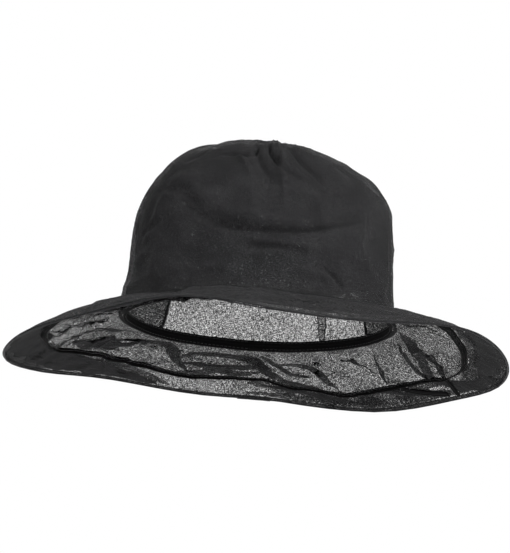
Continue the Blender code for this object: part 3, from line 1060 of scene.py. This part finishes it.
# The drawn-up hem's outline, seen from above: (degrees, millimetres from the middle)
HEM_SHAPE = ((5, 145.5), (14, 150), (26, 154), (38, 150.5), (47, 152.5), (57, 153), (66, 159),
             (72, 154.5), (80, 154), (88, 146), (96, 147), (108, 151), (121, 147), (130, 144.5),
             (140, 143.5), (150, 143.5), (161, 149), (180, 148), (220, 148), (290, 148), (330, 144),
             (350, 140))

# Where the drawn-up hem stands most upright, and how far round it does, in radians
UPRIGHT_HEM = ((math.radians(133), 0.5), (math.radians(50), 0.25))

VEIL_PLEATS = (
    (((66, 106), (69, 121), (71, 144)), 3.5),
    (((57, 104), (53, 117), (50, 138)), 3.0),
    (((150, 139), (133, 140), (117, 143)), 3.0),
    (((102, 144), (92, 141), (80, 147)), 2.8),
    (((64, 151), (54, 147), (42, 146)), 3.0),
    (((186, 104), (181, 120), (181, 142)), 4.0),
    (((205, 100), (200, 118), (207, 140)), 4.0),
    (((338, 100), (346, 118), (352, 134)), 3.5),
    (((222, 104), (232, 122), (228, 140)), 3.5),
    (((285, 130), (300, 138), (318, 132)), 3.5),
)

VEIL_FOLDS = (
    (((163, 148), (167, 137), (171, 124), (172, 112), (174, 102)), 2.4),
    (((169, 115), (167, 108), (163, 102), (158, 98)), 2.0),
    (((163, 136), (156, 128), (150, 121), (145, 113), (138, 101)), 10.5),
    (((56, 107), (51.5, 114), (49.5, 124), (50, 140)), 1.9),
    (((36, 103), (43, 120), (47, 135), (50, 148)), 1.7),
    (((10, 99), (20, 110), (28, 123), (33, 138), (35, 146)), 2.0),
    (((350, 99), (0, 103), (10, 113), (16, 125), (22, 140), (26, 149)), 4.6),
    (((14, 110), (22, 124), (30, 141), (33, 148)), 5.0),
    (((186, 104), (183, 120), (182, 142)), 2.6),
    (((206, 99), (209, 120), (208, 144)), 1.5),
    (((233, 99), (236, 120), (234, 144)), 1.7),
    (((258, 99), (261, 120), (263, 144)), 1.4),
    (((284, 99), (282, 120), (285, 144)), 1.7),
    (((308, 99), (311, 120), (309, 142)), 1.5),
    (((331, 99), (330, 118), (333, 138)), 1.6),
)


def veil_grid():
    share = np.linspace(0, 1, VEIL_ROWS)[:, None] * np.ones((1, VEIL_COLUMNS))
    angle = round_the_hat(VEIL_COLUMNS)[None, :] * np.ones_like(share)
    return share, angle


def veil_share(radius, angle):
    """How far a place under the brim lies from the headband to the hem, from 0 to 1."""
    outer = hem_line(angle)[0] - 1.0 * MM
    return np.clip((radius - VEIL_INNER) / (outer - VEIL_INNER), 0, 1)


def veil_hold(share):
    """How free the net is to crumple: held at the headband and at the hem."""
    return smooth_step(share, 0, 0.2) * (1 - smooth_step(share, 0.88, 1.0))


def veil_spots(radius, angle):
    """The wandering places at which the veil's crumples are looked up."""
    return warped(ring_points(radius, 0 * radius, angle), 0.034, 0.016, 61)


def veil_height(radius, angle):
    """Height of the crumpled net under the brim."""
    share = veil_share(radius, angle)
    bent = veil_spots(radius, angle)
    hold = veil_hold(share)
    fold = ridges(bent, 0.021, 62) * 1.8 + ridges(bent, 0.0105, 63) * 1.0
    sway = lattice_noise(bent, 0.05, 64) * 1.6
    hem_radius, hem_height = hem_line(angle)
    hem_drop = (hem_height - brim_height(hem_radius, angle)) / MM
    drop = -2.4 - 2.2 * hold + (fold + sway) * hold
    drop = drop + (hem_drop - drop) * smooth_step(share, 0.8, 1.0)
    return brim_height(radius, angle) + brim_push(radius, angle) * (1 - share) + np.minimum(drop, -1.2) * MM


def veil_points():
    """The net, crumpled into the space between the headband and the hem."""
    share, angle = veil_grid()
    outer = hem_line(angle[0])[0][None, :] - 1.0 * MM
    radius = VEIL_INNER + (outer - VEIL_INNER) * share
    hold = veil_hold(share)
    radius = radius + lattice_noise(veil_spots(radius, angle), 0.016, 65) * 3.0 * hold * MM
    return pleated(ring_points(radius, veil_height(radius, angle), angle), VEIL_PLEATS, hold, 0.9 * MM)


def hung_points(share, angle):
    """The same net let straight down."""
    return ring_points(HEM_RADIUS, VEIL_TOP - VEIL_CUT * share, angle)


def make_veil():
    share, angle = veil_grid()
    step = (TURN * VEIL_MIDDLE / VEIL_COLUMNS, VEIL_CUT / VEIL_ROWS)
    net = grid_object("veil_net_sheet", veil_points(), VEIL_VOILE, step)
    hung = net.data.attributes.new("hung", "FLOAT_VECTOR", "POINT")
    hung.data.foreach_set("vector", hung_points(share, angle).astype(np.float32).ravel())
    thicken(net, VEIL_THICKNESS)
    middles = add_folds(net, CREASED_VOILE, VEIL_FOLDS, lambda r, a: veil_height(r, a) - 1.5 * MM, 300)
    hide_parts("veil_net")
    blend_as_hung(net, middles)


def blend_as_hung(net, middles):
    """Puts the net where it would hang straight, then back where it lies tucked, and drops the hung places.

    Each fold's points take the hung place of their own middle line before going back.
    """
    count = len(net.data.vertices)
    tucked = np.zeros(count * 3, np.float32)
    net.data.vertices.foreach_get("co", tucked)
    hung = np.zeros(count * 3, np.float32)
    net.data.attributes["hung"].data.foreach_get("vector", hung)
    hung = hung.reshape(-1, 3)
    radius, angle = polar(middles)
    hung[-len(middles):] = hung_points(veil_share(radius, angle), angle)
    net.data.vertices.foreach_set("co", hung.ravel())
    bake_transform(net)
    net.data.vertices.foreach_set("co", tucked)
    net.data.attributes.remove(net.data.attributes["hung"])
    net.data.update()


def hem_line(angles):
    """Radius and height of the drawn-up hem."""
    degrees, radii = np.transpose(HEM_SHAPE)
    fine = np.interp(np.arange(720) / 2, degrees, radii * MM, period=360)
    for _ in range(12):
        fine = (np.roll(fine, 1) + 2 * fine + np.roll(fine, -1)) / 4
    radius = np.interp(np.degrees(angles) % 360, np.arange(720) / 2, fine, period=360)
    spot = ring_points(0.15, 0 * angles, angles)
    kink = lattice_noise(spot, 0.02, 71) * 0.7 + lattice_noise(spot, 0.009, 72) * 0.5
    return radius, brim_height(radius, angles) - 3.2 * MM + kink * MM


STRAP_SIDE = 5  # corners along each flat side of a strap's cross-section
STRAP_END = 4  # and round each of its ends
STRAP_STATIONS = 420
STRAP_ANGLES = TURN * np.arange(STRAP_STATIONS) / STRAP_STATIONS


def rounded_outline(width, thickness):
    """A strap's cross-section: flat faces and round edges."""
    radius = thickness / 2
    flat = width / 2 - radius
    half = [(flat - 2 * flat * k / STRAP_SIDE, radius) for k in range(STRAP_SIDE)]
    for k in range(STRAP_END):
        turn = math.pi * k / STRAP_END
        half.append((-flat - radius * math.sin(turn), radius * math.cos(turn)))
    return half + [(-across, -deep) for across, deep in half]


def strap_ring(name, angles, radius, height, tilt, width, thickness, material, closed=True):
    """A flat strap round the hat. tilt 0 stands it upright, 1 lays it flat."""
    lean = tilt * math.pi / 2 + 0 * angles
    outline = rounded_outline(width, thickness)
    loops = []
    for across, deep in outline:
        out = across * np.sin(lean) + deep * np.cos(lean)
        rise = across * np.cos(lean) - deep * np.sin(lean)
        loops.append(ring_points(radius + out, height + rise, angles))
    points = np.stack(loops, axis=1)
    length = float(np.mean(radius)) * abs(angles[-1] - angles[0]) / (len(angles) - 1)
    return tube_object(name, points, material, (length, 2 * (width + thickness) / len(outline)), closed)


def make_hem():
    angles = STRAP_ANGLES
    radius, height = hem_line(angles)
    upright = sum(bell(angle_gap(angles, middle), reach) for middle, reach in UPRIGHT_HEM)
    band = strap_ring("veil_hem_band", angles, radius, height, 0.66 - 0.42 * upright, 4.8 * MM, MM, ELASTIC)
    finish_piece(band, HEM, ["veil_hem_elastic"])
    make_hem_fold(angles, radius, height)
    make_tail("hem_tail", ((28.5, 152), (29.5, 159), (30.5, 165), (31, 170)), ["hem_elastic_tail"])
    make_tail("hem_tail_long", ((47, 155.5), (43, 161), (38.5, 165), (34, 167.5)), [])


def make_hem_fold(angles, radius, height):
    """The net's hem folded round the elastic, puckered by it."""
    pucker = ridges(ring_points(0.15, 0 * angles, angles), 0.0075, 74)
    loops = []
    for corner in range(ROLL_CORNERS):
        turn = TURN * corner / ROLL_CORNERS
        wide = (3.3 + 0.5 * pucker) * MM
        high = (1.0 + 0.3 * pucker) * MM
        loops.append(ring_points(radius + wide * math.cos(turn), height - 0.3 * wide * math.cos(turn)
                                 + high * math.sin(turn), angles))
    points = np.stack(loops, axis=1)
    fold = tube_object("veil_hem_fold", points, VEIL_VOILE, (TURN * HEM_RADIUS / len(angles), 1.3 * MM))
    finish_piece(fold, HEM, ["veil_hem_casing"])
    line = ring_points(radius - 2.9 * MM, height + 0.1 * MM, angles)
    stitch_row("veil_hem_stitches", line, (0, 0, -1), HEM, 3.4 * MM)


def make_tail(name, path, nodes):
    """A free end of the elastic, left long where the ends are joined, lying along the brim."""
    line = plan_line(path, 24)
    side = sideways(line)
    loops = []
    for across, deep in rounded_outline(4.2 * MM, 0.9 * MM):
        place = line + side * across
        loops.append(np.column_stack([place, brim_under(place) - 2.6 * MM + deep]))
    tail = tube_object(name, np.stack(loops, axis=1), ELASTIC, (1.2 * MM, 0.6 * MM), closed=False)
    finish_piece(tail, HEM, nodes)


# ---------------- headband

def make_headband():
    angles = STRAP_ANGLES
    spot = ring_points(0.093, 0 * angles, angles)
    height = lattice_noise(spot, 0.03, 81) * 0.5 * MM
    radius = HEAD_RADIUS + 0.5 * MM + lattice_noise(spot, 0.012, 82) * 0.15 * MM
    band = strap_ring("headband", angles, radius, height, 0.0, 7.4 * MM, 1.0 * MM, ELASTIC)
    finish_piece(band, HAT, ["headband_elastic"])
    casing = strap_ring("headband_tape", angles, radius + 1.05 * MM, height - 0.2 * MM, 0.0, 7.6 * MM,
                        0.5 * MM, TAPE)
    finish_piece(casing, HAT, ["headband_casing"])
    for name, level in (("headband_stitches_low", -2.5 * MM), ("headband_stitches_high", 2.5 * MM)):
        line = ring_points(radius - 0.52 * MM, height + level, angles)
        stitch_row(name, line, "inwards", HAT, 3.0 * MM)
    make_band_lap(angles, height)
    make_veil_seam(angles)


def make_band_lap(angles, height):
    """The lap where the elastic's two ends are sewn together."""
    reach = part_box("headband_overlap")[1].x / HEAD_RADIUS
    lap_angles = math.pi / 2 + np.linspace(-reach, reach, 24)
    lap_radius = np.full_like(lap_angles, HEAD_RADIUS - 0.6 * MM)
    lap_height = np.interp(lap_angles, angles, height)
    lap = strap_ring("headband_lap", lap_angles, lap_radius, lap_height, 0.0, 6.8 * MM, 0.6 * MM, ELASTIC,
                     closed=False)
    finish_piece(lap, HAT, ["headband_overlap"])


def make_veil_seam(angles):
    """Tape that joins the veil's upper edge to the brim's inner edge."""
    radius = np.full_like(angles, BRIM_INNER + 0.2 * MM)
    height = brim_height(radius, angles) - 1.1 * MM
    seam = strap_ring("veil_seam", angles, radius, height, 1.0, 2.8 * MM, 0.5 * MM, TAPE)
    finish_piece(seam, HAT, ["veil_seam_tape"])


# ---------------- the model

make_camera()
make_stage()
make_crown()
make_headband()
make_brim()
make_veil()
make_hem()
for node in ("brim_hoop_wire", "hoop_joiner_sleeve"):
    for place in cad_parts[node].material_slots:
        place.material = WIRE
